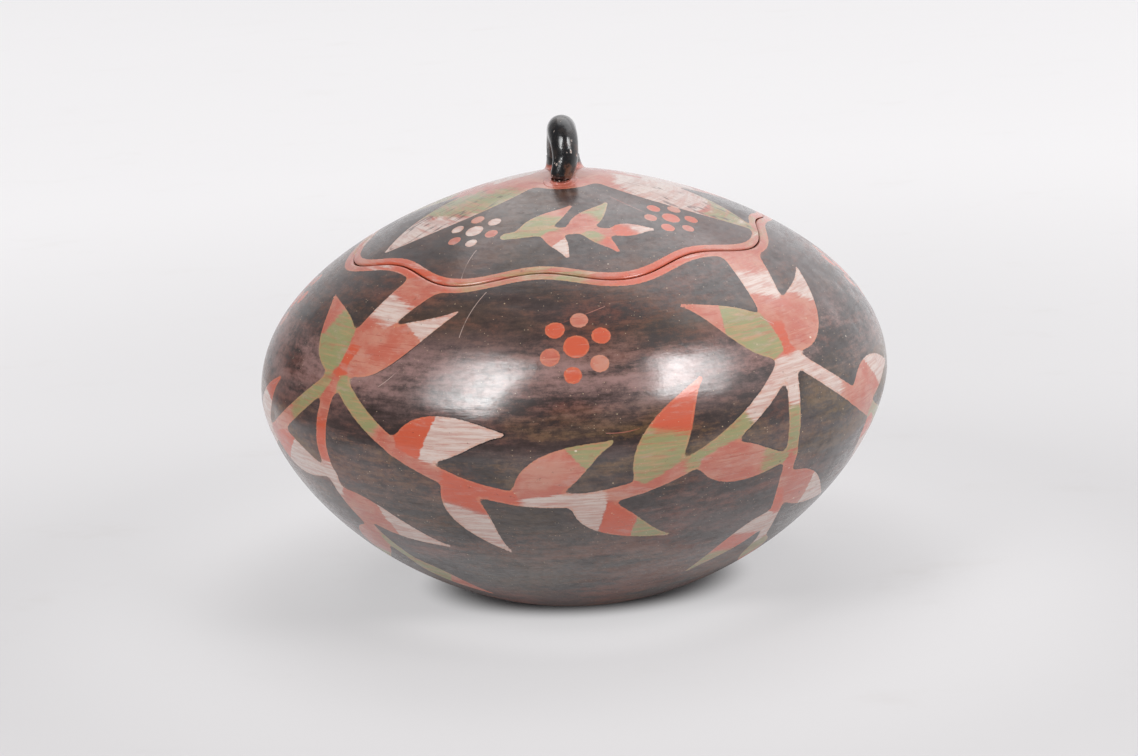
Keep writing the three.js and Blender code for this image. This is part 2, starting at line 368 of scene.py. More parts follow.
class Sheet:
    """A surface to paint on. relative(place) gives each point's offset from a place, in millimetres,
    way(a, b) the offset from one place to another as it is at each point, and span(a, b) its length.
    step(place, x, y) moves a place by millimetres."""

    def __init__(self, count):
        self.edge = np.full(count, FAR)
        self.tones = np.zeros((count, 3))
        self.marks = {name: np.zeros(count) for name in MARKS}
        self.marks["off_scratch"][:] = FAR

    def paint(self, distance, tones, web=WEB):
        share = np.clip(0.5 + (self.edge - distance) / (2 * OVERLAP), 0, 1)[:, None]
        self.tones += (tones - self.tones) * share
        fill = np.maximum(web - np.abs(distance - self.edge), 0) ** 2 / (4 * web) if web else 0
        self.edge = np.minimum(distance, self.edge) - fill


class BellySheet(Sheet):
    """Places are a direction in degrees and a distance up the wall from the widest ring."""

    def __init__(self, points):
        super().__init__(len(points))
        self.radius = np.hypot(points[:, 0], points[:, 1])
        self.direction = np.degrees(np.arctan2(points[:, 1], points[:, 0]))
        profile = np.concatenate([
            belly_point(np.linspace(belly_angle(0.0, 0), 0, PROFILE_STEPS), 0)[:-1],
            crown_point(np.linspace(0, np.pi / 2, PROFILE_STEPS), 0)])
        length = lengths_along(profile)
        length -= np.interp(BELLY_DEPTH, profile[:, 1], length)
        self.profile = profile
        self.length = length
        self.up = np.interp(points[:, 2], profile[:, 1], length)

    def relative(self, place):
        turn = (self.direction - place[0] + 180) % 360 - 180
        return self.radius * np.radians(turn), self.up - place[1]

    def way(self, a, b):
        return self.radius * math.radians(b[0] - a[0]), b[1] - a[1]

    def span(self, a, b):
        radius = np.interp((a[1] + b[1]) / 2, self.length, self.profile[:, 0])
        return math.hypot(radius * math.radians(b[0] - a[0]), b[1] - a[1])

    def step(self, place, x, y):
        return place[0] + math.degrees(x / WIDEST_RADIUS), place[1] + y

    def up_at_radius(self, radius):
        crown = self.profile[:, 1] >= BELLY_DEPTH
        return np.interp(radius, self.profile[crown, 0][::-1], self.length[crown][::-1])


class LidSheet(Sheet):
    """Places are offsets to the right and to the back, measured over the dome."""

    def __init__(self, points):
        super().__init__(len(points))
        radius = np.hypot(points[:, 0], points[:, 1])
        profile = crown_point(np.linspace(np.pi / 2, 0, PROFILE_STEPS), 0)
        over = np.interp(radius, profile[:, 0], lengths_along(profile)) / np.maximum(radius, 1e-6)
        self.x = points[:, 0] * over
        self.y = points[:, 1] * over

    def relative(self, place):
        return self.x - place[0], self.y - place[1]

    def way(self, a, b):
        return b[0] - a[0], b[1] - a[1]

    def span(self, a, b):
        return math.dist(a, b)

    def step(self, place, x, y):
        return place[0] + x, place[1] + y


def polar(direction, distance):
    """A place on the lid from a direction in degrees and a distance from the middle."""
    return distance * math.cos(math.radians(direction)), distance * math.sin(math.radians(direction))


def tones_along(position, length, names, softness):
    """Slips one after the other along a length."""
    knots, values = [], []
    for number, name in enumerate(names):
        start, end = number * length / len(names), (number + 1) * length / len(names)
        blend = min(softness, length / len(names)) / 2
        knots += [start + blend, end - blend]
        values += [TONES[name], TONES[name]]
    values = np.array(values, float)
    return np.stack([np.interp(position, knots, values[:, k]) for k in range(3)], -1)


def leaf(sheet, place, heading, length, width, names, bend=0.0, slant=0.5, tip=1.35, softness=None,
         veined=False):
    """An almond leaf with a drawn-out, hooked tip. heading is in degrees from the way round the jar. The
    veins of a veined leaf fan out from its base."""
    u, v = sheet.relative(place)
    c, s = math.cos(math.radians(heading)), math.sin(math.radians(heading))
    x, y = c * u + s * v, c * v - s * u
    share = np.clip(x / length, 0, 1)
    y = y - bend * length * (share**2 + 0.35 * share**6)
    fullest = LEAF_BASE / (LEAF_BASE + tip)
    blade = (share / fullest) ** LEAF_BASE * ((1 - share) / (1 - fullest)) ** tip
    half = NIB + (width / 2 - NIB) * blade
    beyond = x - np.clip(x, 0, length)
    distance = np.where(beyond == 0, np.abs(y) - half, np.hypot(beyond, y) - half)
    softness = softness or random.choice((CRISP, CRISP, SOFT))
    sheet.paint(distance * 0.9, tones_along(x + slant * y, length, names, softness))
    if veined:
        inside = distance < 0
        strength = np.clip(-distance / VEIN_MARGIN, 0, 1) * np.clip(share * 5 - 1, 0, 1)
        across = 2 * VEIN_FAN * y / (np.abs(x) + VEIN_FAN)
        for name, values in (("veined", strength), ("vein_along", x), ("vein_across", across)):
            sheet.marks[name][inside] = values[inside]


def stem(sheet, places, start_width, end_width, names):
    """A painted line through places, whose slips follow one another along it."""
    spans = [sheet.span(a, b) for a, b in zip(places, places[1:])]
    length = sum(spans)
    best = np.full(len(sheet.edge), FAR)
    position = np.zeros(len(sheet.edge))
    gone = 0.0
    for a, b, span in zip(places, places[1:], spans):
        ax, ay = sheet.relative(a)
        sx, sy = sheet.way(a, b)
        share = np.clip((ax * sx + ay * sy) / (sx * sx + sy * sy), 0, 1)
        at = gone + share * span
        half = (start_width + (end_width - start_width) * at / length) / 2
        distance = np.hypot(ax - share * sx, ay - share * sy) - half
        nearer = distance < best
        best = np.where(nearer, distance, best)
        position = np.where(nearer, at, position)
        gone += span
    sheet.paint(best, tones_along(position, length, names, SOFT))


def scratch(sheet, start, end, bow=0.0):
    """A fine scratch. Points beside it hold how far off they are to its left or right."""
    x, y = sheet.relative(start)
    across, up = sheet.way(start, end)
    length = np.hypot(across, up)
    along = (x * across + y * up) / length**2
    off = (x * up - y * across) / length - bow * length * 4 * along * (1 - along)
    here = (np.abs(off) < SCRATCH_REACH) & (along > 0) & (along < 1)
    sheet.marks["off_scratch"][here] = off[here]
    sheet.marks["near_scratch"][here] = 1


def dot(sheet, place, radius, name):
    u, v = sheet.relative(place)
    sheet.paint(np.hypot(u, v) - radius, np.array(TONES[name], float), 0)


def rosette(sheet, place, middle, outer, ring_distance, names=("red", "salmon")):
    """A dot with a ring of smaller dots."""
    dot(sheet, place, middle, names[0])
    for number in range(ROSETTE_DOTS):
        angle = math.radians(360 / ROSETTE_DOTS * number + 20)
        x, y = ring_distance * math.cos(angle), ring_distance * math.sin(angle)
        dot(sheet, sheet.step(place, x, y), outer * random.uniform(0.92, 1.08), names[number % 2])


def curve(start, control, end, steps):
    """Places on a bowed line."""
    return [tuple(place) for place in bezier(*np.array((start, control, end), float), steps)]


LEAF_TONES = (
    ("salmon", "white"), ("red", "white", "white"), ("olive", "olive", "salmon"), ("white", "salmon"),
    ("salmon", "olive"), ("white", "red", "olive"), ("olive", "red"), ("white", "white", "red"),
    ("salmon", "salmon", "olive"))
STEM_TONES = ("olive", "salmon", "red", "white", "salmon", "olive", "white")


def leaf_tones():
    return LEAF_TONES[random.integers(len(LEAF_TONES))]


def stem_tones(count):
    start = random.integers(len(STEM_TONES))
    return [STEM_TONES[(start + k) % len(STEM_TONES)] for k in range(count)]


RIM_BAND = 3.0
RIM_SLOPE = 1.15  # distance over the crown for each millimetre of radius, near the cut
REPEATS = 4
NODE_TURN = 222.0  # direction of one of the ribbons that hang from the rim
NODE_UP = 21.0
SWAG_LOW = -15.0
STEM_WIDTH = 5.0


def swag_place(node, share):
    """A place on the garland that hangs between two nodes."""
    sag = math.sin(math.pi * share) ** 0.9
    return node + 360 / REPEATS * share, NODE_UP + (SWAG_LOW - NODE_UP) * sag


def heading_on_swag(sheet, node, share):
    a, b = swag_place(node, share - 0.01), swag_place(node, share + 0.01)
    radius = np.interp(a[1], sheet.length, sheet.profile[:, 0])
    return math.degrees(math.atan2(b[1] - a[1], radius * math.radians(b[0] - a[0])))


def paint_swag(sheet, node):
    """A garland of leaves from this node to the next, with a rosette above it."""
    places = [swag_place(node, share) for share in np.linspace(0, 1, 25)]
    stem(sheet, places, STEM_WIDTH, STEM_WIDTH, stem_tones(7))
    side = 1
    for share in (0.17, 0.28, 0.41, 0.52, 0.65, 0.76):
        heading = heading_on_swag(sheet, node, share) + random.uniform(42, 56) * side
        size = random.uniform(0.94, 1.12)
        leaf(sheet, swag_place(node, share), heading, 33 * size, 13 * size, leaf_tones(),
             bend=-0.12 * side, slant=random.uniform(-0.9, 0.9))
        side = -side
    rosette(sheet, (swag_place(node, 0.54)[0], NODE_UP + 12), 3.8, 2.8, 9.3)


def paint_node(sheet, node):
    """A ribbon from the rim, two leaves at its end and a stem with leaves that hangs below it."""
    rim = sheet.up_at_radius(cut_radius(math.radians(node + 10)))
    ribbon = curve((node + 10, rim), (node + 4, rim - 14), (node, NODE_UP), 8)
    stem(sheet, ribbon, 15.0, STEM_WIDTH + 3, ("salmon", "white", "salmon", "red"))
    leaf(sheet, (node + 1, NODE_UP + 2), 30, 36, 15, ("salmon", "salmon", "white"), bend=0.1)
    leaf(sheet, (node, NODE_UP), 128, 33, 15, ("olive", "olive", "salmon"), bend=0.12)
    pendant = curve((node, NODE_UP), (node - 6, -14), (node + 4, -50), 10)
    stem(sheet, pendant, STEM_WIDTH, STEM_WIDTH - 1, stem_tones(5))
    for step, heading, length, width in ((5, -38, 36, 13), (7, -132, 31, 12)):
        leaf(sheet, pendant[step], heading, length, width, leaf_tones(), bend=0.1, slant=0.7)
    leaf(sheet, pendant[-1], -62, 27, 10, ("olive", "salmon"))


def paint_rim(sheet, points, side):
    """The band of slip that follows the cut. side is 1 on the body and -1 on the lid."""
    direction = np.arctan2(points[:, 1], points[:, 0])
    radius = np.hypot(points[:, 0], points[:, 1])
    distance = side * (radius - cut_radius(direction)) * RIM_SLOPE - RIM_BAND
    distance = np.where(points[:, 2] > BELLY_DEPTH, distance, FAR)
    tones = np.zeros((len(points), 3))
    tones[:, 0] = 0.22 + 0.25 * np.sin(4 * direction + 2.2)
    tones[:, 1] = 0.18 + 0.22 * np.sin(7 * direction + side)
    tones[:, 2] = 0.45 + 0.40 * np.sin(5 * direction + 1)
    sheet.paint(distance, tones)


def paint_belly(points, outside_count):
    sheet = BellySheet(points)
    paint_rim(sheet, points, 1)
    for repeat in range(REPEATS):
        node = NODE_TURN + 360 / REPEATS * repeat
        paint_swag(sheet, node)
        paint_node(sheet, node)
    scratch(sheet, (250, 55), (247, 36), 0.06)
    scratch(sheet, (267, 41), (278, 47))
    for repeat in range(9):
        start = (36 + 40 * repeat + random.uniform(-12, 12), random.uniform(-30, 36))
        scratch(sheet, start, sheet.step(start, random.uniform(4, 15), random.uniform(-12, 12)), 0.05)
    sheet.edge[outside_count:] = FAR
    sheet.marks["near_scratch"][outside_count:] = 0
    return sheet


def lid_spray(sheet, middle):
    """A leafy branch along the rim of the lid, between two rosettes."""
    turns = np.linspace(middle - 26, middle + 14, 9)
    places = [polar(turn, 49 - 3 * math.sin(math.pi * number / 8)) for number, turn in enumerate(turns)]
    stem(sheet, places, 3.5, 3.0, ("olive", "salmon"))
    for number, side, length in ((1, 1, 21), (3, -1, 15), (5, 1, 20), (6, -1, 14)):
        heading = turns[number] + 90 + side * random.uniform(44, 52)
        leaf(sheet, places[number], heading, length, length * 0.42, leaf_tones(), bend=0.1 * side,
             slant=random.uniform(-0.8, 0.8))
    leaf(sheet, places[-1], turns[-1] + 98, 13, 7, ("red", "white"), bend=-0.1)
    for turn, names in ((-41, ("white", "salmon")), (42, ("red", "salmon"))):
        rosette(sheet, polar(middle + turn, 47), 2.9, 2.1, 7.0, names)


PETALS = (
    (204, ("salmon", "olive", "white")), (158, ("white", "salmon", "olive")),
    (341, ("salmon", "white", "white", "olive")), (21, ("salmon", "white", "red")))


def paint_lid(points, inside_count):
    sheet = LidSheet(points)
    paint_rim(sheet, points, -1)
    u, v = sheet.relative((0, 0))
    patch = np.hypot(u / 0.95, (v + 1) / 1.25) - 14.5
    sheet.paint(patch, np.zeros(3))
    for direction, names in PETALS:
        leaf(sheet, polar(direction, 3), direction, 61, 25, names, slant=0.6, tip=0.9, softness=2 * SOFT,
             veined=True)
    lid_spray(sheet, 273)
    lid_spray(sheet, 91)
    scratch(sheet, (-28, -48), (-34, -62), 0.05)
    scratch(sheet, (14, -24), (31, -36), 0.04)
    scratch(sheet, (-20, 30), (-6, 44))
    sheet.edge[:inside_count] = FAR
    sheet.marks["near_scratch"][:inside_count] = 0
    return sheet


# Materials

class Nodes:
    """Shorthand for building the node tree of a material, a light or the world."""

    def __init__(self, owner):
        owner.use_nodes = True
        self.owner = owner
        self.tree = owner.node_tree
        self.shader = self.tree.nodes.get("Principled BSDF")

    def put(self, value, target):
        """Feeds an input with a value or with another node's output."""
        if isinstance(value, bpy.types.NodeSocket):
            self.tree.links.new(value, target)
        else:
            target.default_value = value

    def add(self, kind, **inputs):
        made = self.tree.nodes.new("ShaderNode" + kind)
        for name, value in inputs.items():
            self.put(value, made.inputs[name])
        return made

    def attribute(self, name):
        made = self.add("Attribute")
        made.attribute_name = name
        return made.outputs["Fac"]

    def place(self, stretch=(1, 1, 1), turn=(0, 0, 0), source="Object"):
        """Coordinates, scaled along each axis and turned."""
        coordinates = self.add("TexCoord").outputs[source]
        return self.add("Mapping", Vector=coordinates, Scale=stretch, Rotation=turn).outputs[0]

    def split(self, vector):
        return self.add("SeparateXYZ", Vector=vector).outputs

    def length(self, vector):
        made = self.add("VectorMath", Vector=vector)
        made.operation = "LENGTH"
        return made.outputs["Value"]

    def height(self):
        """Metres above the surface that the jar stands on."""
        return self.split(self.place())["Z"]

    def noise(self, stretch=(1, 1, 1), turn=(0, 0, 0), scale=1, detail=4, roughness=0.55, distortion=0):
        made = self.add("TexNoise", Vector=self.place(stretch, turn), Scale=scale, Detail=detail,
                        Roughness=roughness, Distortion=distortion)
        return made.outputs["Fac"]

    def voronoi(self, stretch, scale):
        """The distance to the nearest of scattered points, and that point's own chance."""
        made = self.add("TexVoronoi", Vector=self.place(stretch), Scale=scale)
        return made.outputs["Distance"], made.outputs["Color"]

    def math(self, operation, *values):
        """One value with the next, and what comes out with the one after."""
        total = values[0]
        for value in values[1:]:
            made = self.add("Math")
            made.operation = operation
            self.put(total, made.inputs[0])
            self.put(value, made.inputs[1])
            total = made.outputs[0]
        return total

    def times(self, *values):
        return self.math("MULTIPLY", *values)

    def plus(self, *values):
        return self.math("ADD", *values)

    def minus(self, a, b):
        return self.math("SUBTRACT", a, b)

    def swing(self, noise, strength):
        """A noise moved to lie about zero, times a strength."""
        return self.times(self.minus(noise, 0.5), strength)

    def ramp(self, value, low, high, to_low=0.0, to_high=1.0):
        """value from low..high to to_low..to_high, smooth and held at the ends."""
        made = self.add("MapRange")
        made.interpolation_type = "SMOOTHSTEP"
        made.clamp = True
        for socket, number in zip(made.inputs, (value, low, high, to_low, to_high)):
            self.put(number, socket)
        return made.outputs[0]

    def band(self, value, rise, fall, below=0.0, above=0.0):
        """1 between a rise and a fall, each given by where it starts and ends."""
        return self.times(self.ramp(value, *rise, below, 1), self.ramp(value, *fall, 1, above))

    def mix(self, share, a, b):
        made = self.add("Mix")
        made.data_type = "RGBA"
        made.clamp_factor = True
        self.put(share, made.inputs[0])
        for value, socket in ((a, made.inputs[6]), (b, made.inputs[7])):
            self.put(value if isinstance(value, bpy.types.NodeSocket) else (*value, 1), socket)
        return made.outputs[2]

    def bump(self, height, distance, strength, **before):
        made = self.add("Bump", Height=height, Distance=distance, Strength=strength, **before)
        return made.outputs["Normal"]

    def finish(self, colour, roughness, **others):
        """Feeds the shader; the names of the other inputs are written with _ for each space."""
        for name, value in {"Base_Color": colour, "Roughness": roughness, **others}.items():
            self.put(value, self.shader.inputs[name.replace("_", " ")])
        return self.owner


def material_nodes(name):
    return Nodes(bpy.data.materials.new(name))


SALMON = (0.31, 0.078, 0.050)
PALE_SALMON = (0.35, 0.165, 0.118)
BRICK = (0.27, 0.055, 0.035)
RED = (0.36, 0.060, 0.026)
OLIVE = (0.170, 0.180, 0.078)
OCHRE = (0.29, 0.175, 0.085)
WHITE = (0.42, 0.345, 0.31)
PINK_WHITE = (0.33, 0.205, 0.175)
EDGE_ORANGE = (0.40, 0.15, 0.075)
VEIN_BROWN = (0.050, 0.022, 0.017)
GROOVE_BLACK = (0.006, 0.004, 0.004)
GROUND_BLACK = (0.017, 0.0095, 0.0085)
GROUND_RED = (0.085, 0.022, 0.012)
GROUND_GOLD = (0.075, 0.040, 0.008)
# Purplish clouds, which also carry a painted sheen: the haze round the highlights on the shoulder
GROUND_PURPLE_AND_SHEEN = (0.185, 0.107, 0.098)
SCRATCH_PALE = (0.34, 0.25, 0.22)
SCRATCH_RED = (0.28, 0.07, 0.045)
BURNISH = (0.05, 0.025, 0)  # slight tilts of the burnishing strokes, in radians
# Grains: cells in a metre, a grain's size in its cell, the chance that a cell has to reach, the colour
SPECKS = (
    (950, 0.10, 0.90, (0.30, 0.22, 0.15)),
    (420, 0.060, 0.97, (0.40, 0.30, 0.19)),
    (150, 0.04, 1.0, (0.50, 0.42, 0.34)))
# Chips, in the same way
CHIPS = ((330, 0.14, 0.88), (600, 0.17, 0.86), (1000, 0.2, 0.84))


def ground_colour(n):
    """Fire-clouded, burnished ground: nearly black, with reddish, golden and purplish clouds that are
    drawn out round the jar. The purplish ones are partly a painted sheen, paler in the shoulder band
    round and between the highlights."""
    broad = n.noise((17, 17, 45), detail=6, roughness=0.6, distortion=0.8)
    fine = n.noise((60, 60, 420), BURNISH, detail=7, roughness=0.72)
    gold = n.noise((13, 13, 36), (0.1, 0, 0.4), detail=5, distortion=0.8)
    purple = n.noise((20, 20, 60), (0, 0.1, 1.2), detail=5)
    mottle = n.noise((1, 1, 1.5), scale=330, detail=7, roughness=0.8)
    strokes = n.plus(n.swing(fine, 0.65), n.swing(mottle, 0.6))
    height = n.height()
    below_lid = n.ramp(height, 0.106, 0.120, 1, 0.3)
    girdle = n.band(height, (0.050, 0.064), (0.074, 0.086), 0.3, 0.25)
    # The shoulder band holds the purplish clouds and the painted sheen between the highlights.
    shoulder = n.band(height, (0.074, 0.088), (0.092, 0.103), 0.25, 0.16)
    colour = GROUND_BLACK
    for cloud, low, high, zone, tone in ((broad, 0.42, 0.72, below_lid, GROUND_RED),
                                         (gold, 0.44, 0.72, girdle, GROUND_GOLD),
                                         (purple, 0.34, 0.76, shoulder, GROUND_PURPLE_AND_SHEEN)):
        share = n.times(n.ramp(n.plus(cloud, strokes), low, high), zone)
        colour = n.mix(share, colour, tone)
    return colour, fine


def slip_colour(n):
    """Salmon slip with red, olive and white ones over it. Each was rubbed on in short level strokes,
    which break its ends into hatching and let the one below show through."""
    streak = n.noise((70, 70, 1300), BURNISH, detail=6, roughness=0.7)
    scrape = n.noise((80, 80, 1500), BURNISH, detail=4, roughness=0.7)
    patch = n.noise((1, 1, 1.4), scale=85, detail=5, roughness=0.6)
    blobs = n.noise((1, 1, 1.4), scale=52, detail=2)
    smear = n.noise((95, 95, 380), (0.45, 0.4, 0), detail=5, roughness=0.68)
    drift = n.plus(n.swing(streak, 1.3), n.swing(patch, 0.6))
    blobs = n.times(n.swing(blobs, 2.2), n.ramp(n.attribute("veined"), 0, 1, 0.35, 1))
    red = n.ramp(n.plus(n.attribute("red"), drift), 0.32, 0.68)
    olive = n.ramp(n.plus(n.attribute("olive"), n.plus(drift, blobs)), 0.30, 0.70)
    white = n.ramp(n.plus(n.attribute("white"), n.minus(drift, blobs)), 0.30, 0.66)
    colour = n.mix(n.ramp(patch, 0.40, 0.64, 0, 0.75), SALMON, PALE_SALMON)
    colour = n.mix(n.ramp(streak, 0.54, 0.68, 0, 0.7), colour, PALE_SALMON)
    colour = n.mix(n.ramp(scrape, 0.46, 0.34, 0, 0.75), colour, BRICK)
    brick = n.mix(n.ramp(streak, 0.5, 0.66, 0, 0.6), RED, SALMON)
    leafy = n.mix(n.ramp(streak, 0.48, 0.64, 0, 0.75), OLIVE, OCHRE)
    chalky = n.mix(n.ramp(streak, 0.58, 0.38, 0, 0.8), WHITE, PINK_WHITE)
    colour = n.mix(red, colour, brick)
    colour = n.mix(n.times(olive, n.ramp(scrape, 0.52, 0.64, 0.96, 0.5)), colour, leafy)
    colour = n.mix(n.times(white, n.ramp(scrape, 0.50, 0.66, 0.97, 0.5)), colour, chalky)
    colour = n.mix(n.ramp(smear, 0.54, 0.70, 0, 0.42), colour, PINK_WHITE)
    colour = n.mix(n.ramp(smear, 0.45, 0.32, 0, 0.38), colour, BRICK)
    return n.mix(veins(n), colour, VEIN_BROWN)


def veins(n):
    """Fine dark lines along the petals, where a drawn-out noise crosses its middle."""
    along = n.times(n.attribute("vein_along"), 0.045)
    across = n.times(n.attribute("vein_across"), 0.42)
    place = n.add("CombineXYZ", X=along, Y=across).outputs[0]
    wave = n.add("TexNoise", Vector=place, Scale=1, Detail=1, Roughness=0.55).outputs["Fac"]
    line = n.ramp(n.math("ABSOLUTE", n.minus(wave, 0.5), 0), 0.008, 0.034, 1, 0)
    broken = n.ramp(n.noise(scale=210, detail=4), 0.42, 0.58, 0.1, 0.8)
    return n.times(line, broken, n.attribute("veined"))


def painted_clay(name):
    n = material_nodes(name)
    ground, fine = ground_colour(n)
    wobble = n.noise(scale=900, detail=3)
    edge = n.plus(n.attribute("edge"), n.swing(wobble, 0.5))
    outline = n.times(n.ramp(edge, -0.75, -0.35, 0, 1), n.ramp(wobble, 0.4, 0.6, 0.08, 0.42))
    slip = n.mix(outline, slip_colour(n), EDGE_ORANGE)
    worn = n.ramp(n.noise((1, 1, 1.6), scale=420, detail=5, roughness=0.75), 0.62, 0.70)
    painted = n.times(n.ramp(edge, -0.13, 0.10, 1, 0), n.minus(1, n.times(worn, 0.55)))
    groove = n.band(edge, (-0.02, 0.12), (0.16, 0.42))
    chance = n.ramp(n.noise(scale=45, detail=2), 0.5, 0.62)
    colour = n.mix(painted, ground, slip)
    colour = n.mix(n.times(groove, chance), colour, GROOVE_BLACK)
    colour = scratches(n, specks(n, colour))
    foot = n.ramp(n.height(), 0.004, 0.034, 1, 0)
    rough = n.plus(n.ramp(fine, 0.3, 0.75, 0.40, 0.52), n.times(foot, 0.25))
    swell = n.noise((28, 28, 60), detail=2)
    stroke = n.noise((55, 55, 650), BURNISH, detail=5, roughness=0.7)
    grain = n.noise((1, 1, 1.6), scale=520, detail=5, roughness=0.75)
    normal = n.bump(swell, 0.0009, 0.6)
    normal = n.bump(stroke, 0.00007, 0.55, Normal=normal)
    normal = n.bump(grain, 0.00006, 0.5, Normal=normal)
    patches = n.noise((1, 1, 1.5), scale=34, detail=6, roughness=0.7)
    gloss = n.times(n.ramp(grain, 0.42, 0.66, 1.0, 0.70), n.ramp(stroke, 0.4, 0.7, 1.0, 0.82),
                    n.ramp(patches, 0.5, 0.66, 1.0, 0.68), n.minus(1, foot))
    return n.finish(colour, rough, Normal=normal, Coat_Normal=normal, Coat_Weight=gloss,
                    Coat_Roughness=0.17, Coat_IOR=1.8, IOR=1.5, Specular_IOR_Level=0.22)


def specks(n, colour):
    """Small pale and golden grains in the burnished skin, denser in some places."""
    crowd = n.noise((1, 1, 1.6), scale=24, detail=3)
    for scale, size, share, tone in SPECKS:
        near, chance = n.voronoi((1, 1, 1.3), scale)
        chosen = n.ramp(n.plus(chance, n.times(crowd, 0.30)), share, share + 0.02)
        grain = n.times(n.ramp(near, size, size * 2, 1, 0), chosen, 0.8)
        colour = n.mix(grain, colour, tone)
    return colour


def scratches(n, colour):
    """A few long, fine scratches that stop and start."""
    off = n.math("ABSOLUTE", n.attribute("off_scratch"), 0)
    broken = n.ramp(n.noise(scale=160, detail=3), 0.40, 0.52, 0.2, 0.75)
    line = n.times(n.ramp(off, 0.06, 0.16, 1, 0), n.ramp(n.attribute("near_scratch"), 0.6, 0.9), broken)
    depth = n.ramp(n.noise(scale=14), 0.45, 0.55)
    return n.mix(line, colour, n.mix(depth, SCRATCH_PALE, SCRATCH_RED))


def raw_clay(name):
    """Unburnished clay of the inside and the cut faces."""
    n = material_nodes(name)
    grain = n.noise(scale=700, detail=6, roughness=0.7)
    wiped = n.noise((24, 24, 190), detail=4)
    colour = n.mix(n.ramp(wiped, 0.35, 0.7), (0.030, 0.020, 0.016), (0.075, 0.045, 0.032))
    colour = n.mix(n.ramp(grain, 0.55, 0.8, 0, 0.5), colour, (0.13, 0.09, 0.07))
    normal = n.bump(wiped, 0.0008, 0.7)
    normal = n.bump(grain, 0.0002, 0.5, Normal=normal)
    return n.finish(colour, n.ramp(grain, 0.3, 0.8, 0.6, 0.85), Normal=normal)


def handle_clay(name):
    """Burnished black coil with chips and small pits, most of them low down, where it is rubbed brown."""
    n = material_nodes(name)
    low = n.attribute("low")
    cloud = n.noise(scale=160, detail=5, roughness=0.65)
    colour = n.mix(n.ramp(cloud, 0.48, 0.72), (0.006, 0.006, 0.0068), (0.024, 0.016, 0.013))
    rub = n.times(n.ramp(n.noise(scale=210, detail=5), 0.53, 0.66), low, 0.8)
    colour = n.mix(rub, colour, (0.10, 0.040, 0.022))
    found = []
    for scale, size, share in CHIPS:
        warped = n.noise(scale=scale * 2.5, detail=2)
        near, chance = n.voronoi((1, 1, 0.7), scale)
        chosen = n.ramp(n.plus(chance, n.times(low, 0.22)), share, share + 0.03)
        found.append(n.times(n.ramp(n.plus(near, n.swing(warped, 0.5)), size, size + 0.08, 1, 0), chosen))
    chips = n.math("MAXIMUM", *found)
    colour = n.mix(n.times(chips, 0.85), colour, (0.34, 0.27, 0.24))
    colour = n.mix(n.ramp(n.plus(n.attribute("slip"), n.swing(cloud, 0.9)), 0.3, 0.7), colour, SALMON)
    normal = n.bump(n.noise(scale=240, detail=4), 0.0006, 0.35)
    normal = n.bump(n.minus(1, chips), 0.0002, 0.8, Normal=normal)
    return n.finish(colour, n.ramp(cloud, 0.3, 0.8, 0.22, 0.34), Normal=normal, Coat_Normal=normal,
                    IOR=1.5, Coat_Weight=0.7, Coat_Roughness=0.11)


def collar_slip(name):
    """Salmon slip brushed over the clay at the handle's feet, over burnished black higher up."""
    n = material_nodes(name)
    streak = n.noise((1, 1, 2.5), scale=330, detail=5, roughness=0.65)
    colour = n.mix(n.ramp(streak, 0.35, 0.6), (0.36, 0.11, 0.08), SALMON)
    colour = n.mix(n.ramp(streak, 0.6, 0.72, 0, 0.7), colour, WHITE)
    black = n.ramp(n.plus(n.attribute("lift"), n.swing(streak, 1.1)), 0.12, 0.46)
    colour = n.mix(black, colour, (0.010, 0.008, 0.008))
    normal = n.bump(streak, 0.0003, 0.4)
    return n.finish(colour, n.ramp(streak, 0.3, 0.7, 0.25, 0.4), Normal=normal,
                    IOR=1.7, Coat_Weight=0.6, Coat_Roughness=0.1)


def paper_with_painted_light(name):
    """Pale paper that glows as a lit studio sweep does: a painted glow of light, brighter behind and far
    off, with a painted shadow round and beside the jar's foot and a painted pool of light just in front
    of it.
    """
    n = material_nodes(name)
    cloud = n.noise(scale=1.3, detail=3)
    colour = n.mix(n.ramp(cloud, 0.3, 0.7), (0.192, 0.186, 0.190), (0.20, 0.194, 0.197))
    smudge = n.noise((1, 1.6, 1), scale=13, detail=6, roughness=0.7)
    colour = n.mix(n.ramp(smudge, 0.56, 0.74, 0, 0.7), colour, (0.168, 0.158, 0.156))
    place = n.place()
    away = n.length(place)
    y = n.split(place)["Y"]
    # Painted light: a pool of light on the paper just in front of the jar's foot.
    front = n.times(n.ramp(y, -0.024, -0.047, 0, 1), n.ramp(away, 0.056, 0.085, 1, 0), 0.11)
    # Painted shade: the paper darker beside and behind the jar's foot.
    beside = n.times(n.ramp(away, 0.05, 0.075, 0, -0.05), n.ramp(away, 0.095, 0.135, 1, 0),
                     n.ramp(y, -0.020, -0.060, 1, 0.2))
    # The painted glow: none under the jar, so a painted shadow round its foot, then more light towards
    # the back and far off.
    painted_glow = n.plus(n.ramp(n.length(n.place((0.78, 1, 1))), 0.0290, 0.0440, 0, 0.44),
                  front,
                  beside,
                  n.ramp(away, 0.13, 0.21, 0, -0.08),
                  n.ramp(y, 0.0, 0.25, 0, 0.10),
                  n.ramp(away, 0.25, 0.85, 0, 0.15),
                  n.ramp(away, 0.8, 2.0, 0, 0.06))
    return n.finish(colour, 0.75, Emission_Color=(1, 0.99, 1, 1), Emission_Strength=painted_glow)


# Pieces of the jar

